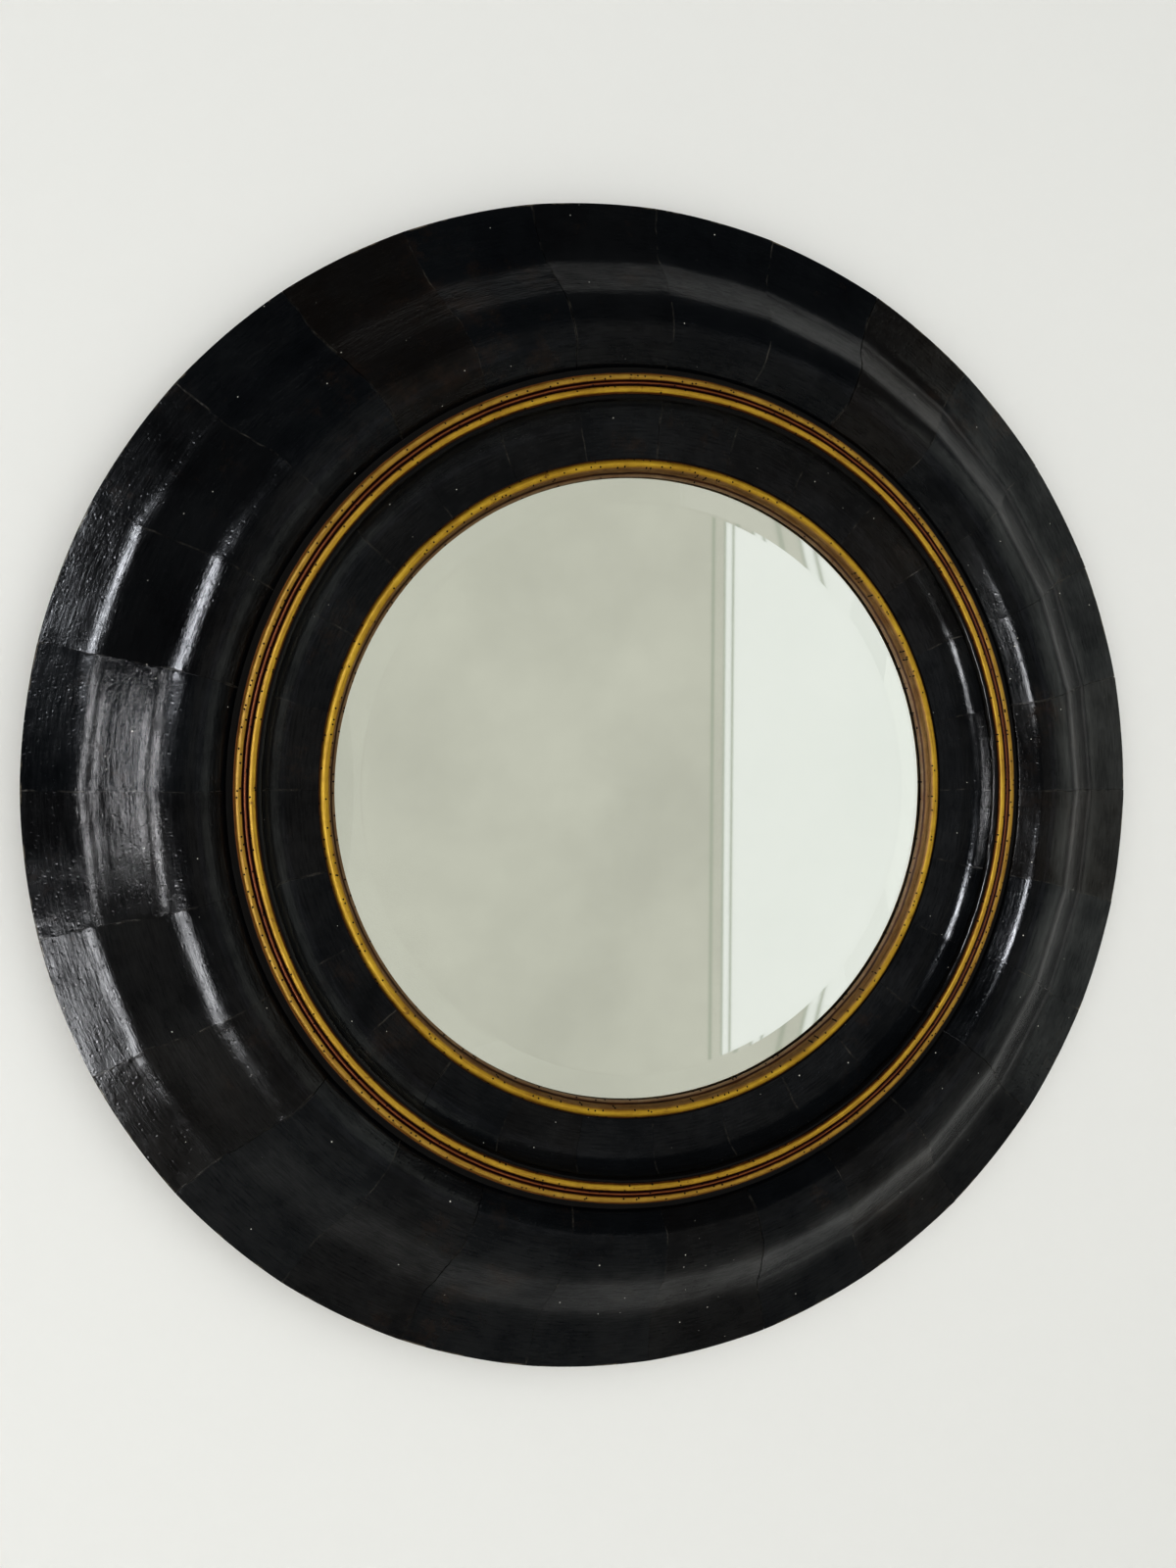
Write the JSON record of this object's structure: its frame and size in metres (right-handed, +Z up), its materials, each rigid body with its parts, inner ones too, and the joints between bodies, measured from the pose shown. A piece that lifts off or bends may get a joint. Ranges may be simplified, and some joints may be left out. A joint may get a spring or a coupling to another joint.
{
  "type": "round framed wall mirror",
  "caption": "Round bevelled wall mirror in a wide ebonised moulded frame faced in short segments, with a gilt triple reed, a gilt sight bead, hanging rings and turn buttons.",
  "frame": {"origin": "on the wall plane, at the centre of the mirror; the rubber pads on the back of the frame touch this plane", "axes": "+Y into the wall, so the glass faces -Y; +Z up; +X to the right of a person who looks at the glass"},
  "size_m": [1, 0.0722, 1],
  "materials": {
    "ebonised_facing": "thin veneer facing, ebonised and finished in glossy black shellac",
    "pine_core": "turned pine, raw at the back",
    "gilding": "burnished gilding over red bole on turned wood, aged",
    "felt": "black felt strip",
    "plate_glass": "polished plate glass with a ground and polished bevel",
    "silvering": "silver film on the glass under backing paint",
    "card": "grey-brown packing card",
    "plywood": "birch plywood, unpainted",
    "rubber": "black moulded rubber",
    "brass": "plain brass, lightly tarnished",
    "zinc_steel": "bright zinc-plated steel"
  },
  "bodies": {
    "framed_mirror": {"outer_facing_01": "ebonised_facing", "outer_facing_02": "ebonised_facing", "outer_facing_03": "ebonised_facing", "outer_facing_04": "ebonised_facing", "outer_facing_05": "ebonised_facing", "outer_facing_06": "ebonised_facing", "outer_facing_07": "ebonised_facing", "outer_facing_08": "ebonised_facing", "outer_facing_09": "ebonised_facing", "outer_facing_10": "ebonised_facing", "outer_facing_11": "ebonised_facing", "outer_facing_12": "ebonised_facing", "outer_facing_13": "ebonised_facing", "outer_facing_14": "ebonised_facing", "outer_facing_15": "ebonised_facing", "outer_facing_16": "ebonised_facing", "outer_facing_17": "ebonised_facing", "outer_facing_18": "ebonised_facing", "outer_facing_19": "ebonised_facing", "outer_facing_20": "ebonised_facing", "outer_facing_21": "ebonised_facing", "outer_facing_22": "ebonised_facing", "outer_facing_23": "ebonised_facing", "outer_facing_24": "ebonised_facing", "outer_facing_25": "ebonised_facing", "outer_facing_26": "ebonised_facing", "outer_facing_27": "ebonised_facing", "outer_facing_28": "ebonised_facing", "inner_facings": "ebonised_facing", "back_felloe_1": "pine_core", "back_felloe_2": "pine_core", "back_felloe_3": "pine_core", "back_felloe_4": "pine_core", "back_felloe_5": "pine_core", "back_felloe_6": "pine_core", "front_felloe_1": "pine_core", "front_felloe_2": "pine_core", "front_felloe_3": "pine_core", "front_felloe_4": "pine_core", "front_felloe_5": "pine_core", "front_felloe_6": "pine_core", "gilt_reed": "gilding", "gilt_slip": "gilding", "glazing_felt": "felt", "bevelled_glass": "plate_glass", "silvering": "silvering", "backing_card": "card", "backboard": "plywood", "wall_pads": "rubber", "button_screws": "brass", "hanger_strap_left": "zinc_steel", "hanger_strap_right": "zinc_steel", "strap_screws": "zinc_steel"},
    "hanging_ring_left": {"hanging_ring_left": "zinc_steel"},
    "hanging_ring_right": {"hanging_ring_right": "zinc_steel"},
    "turn_button_1": {"turn_button_1": "brass"},
    "turn_button_2": {"turn_button_2": "brass"},
    "turn_button_3": {"turn_button_3": "brass"},
    "turn_button_4": {"turn_button_4": "brass"}
  },
  "joints": [
    {"name": "ring_swing_left", "type": "hinge", "parent": "framed_mirror", "child": "hanging_ring_left", "pos_m": [-0.372, -0.00455, 0.23], "axis": [1, 0, 0], "range_deg": [0, 180]},
    {"name": "ring_swing_right", "type": "hinge", "parent": "framed_mirror", "child": "hanging_ring_right", "pos_m": [0.372, -0.00455, 0.23], "axis": [1, 0, 0], "range_deg": [0, 180]},
    {"name": "button_turn_1", "type": "hinge", "parent": "framed_mirror", "child": "turn_button_1", "pos_m": [0.20435, -0.0066, 0.20435], "axis": [0, 1, 0], "continuous": true},
    {"name": "button_turn_2", "type": "hinge", "parent": "framed_mirror", "child": "turn_button_2", "pos_m": [-0.20435, -0.0066, 0.20435], "axis": [0, 1, 0], "continuous": true},
    {"name": "button_turn_3", "type": "hinge", "parent": "framed_mirror", "child": "turn_button_3", "pos_m": [-0.20435, -0.0066, -0.20435], "axis": [0, 1, 0], "continuous": true},
    {"name": "button_turn_4", "type": "hinge", "parent": "framed_mirror", "child": "turn_button_4", "pos_m": [0.20435, -0.0066, -0.20435], "axis": [0, 1, 0], "continuous": true}
  ]
}
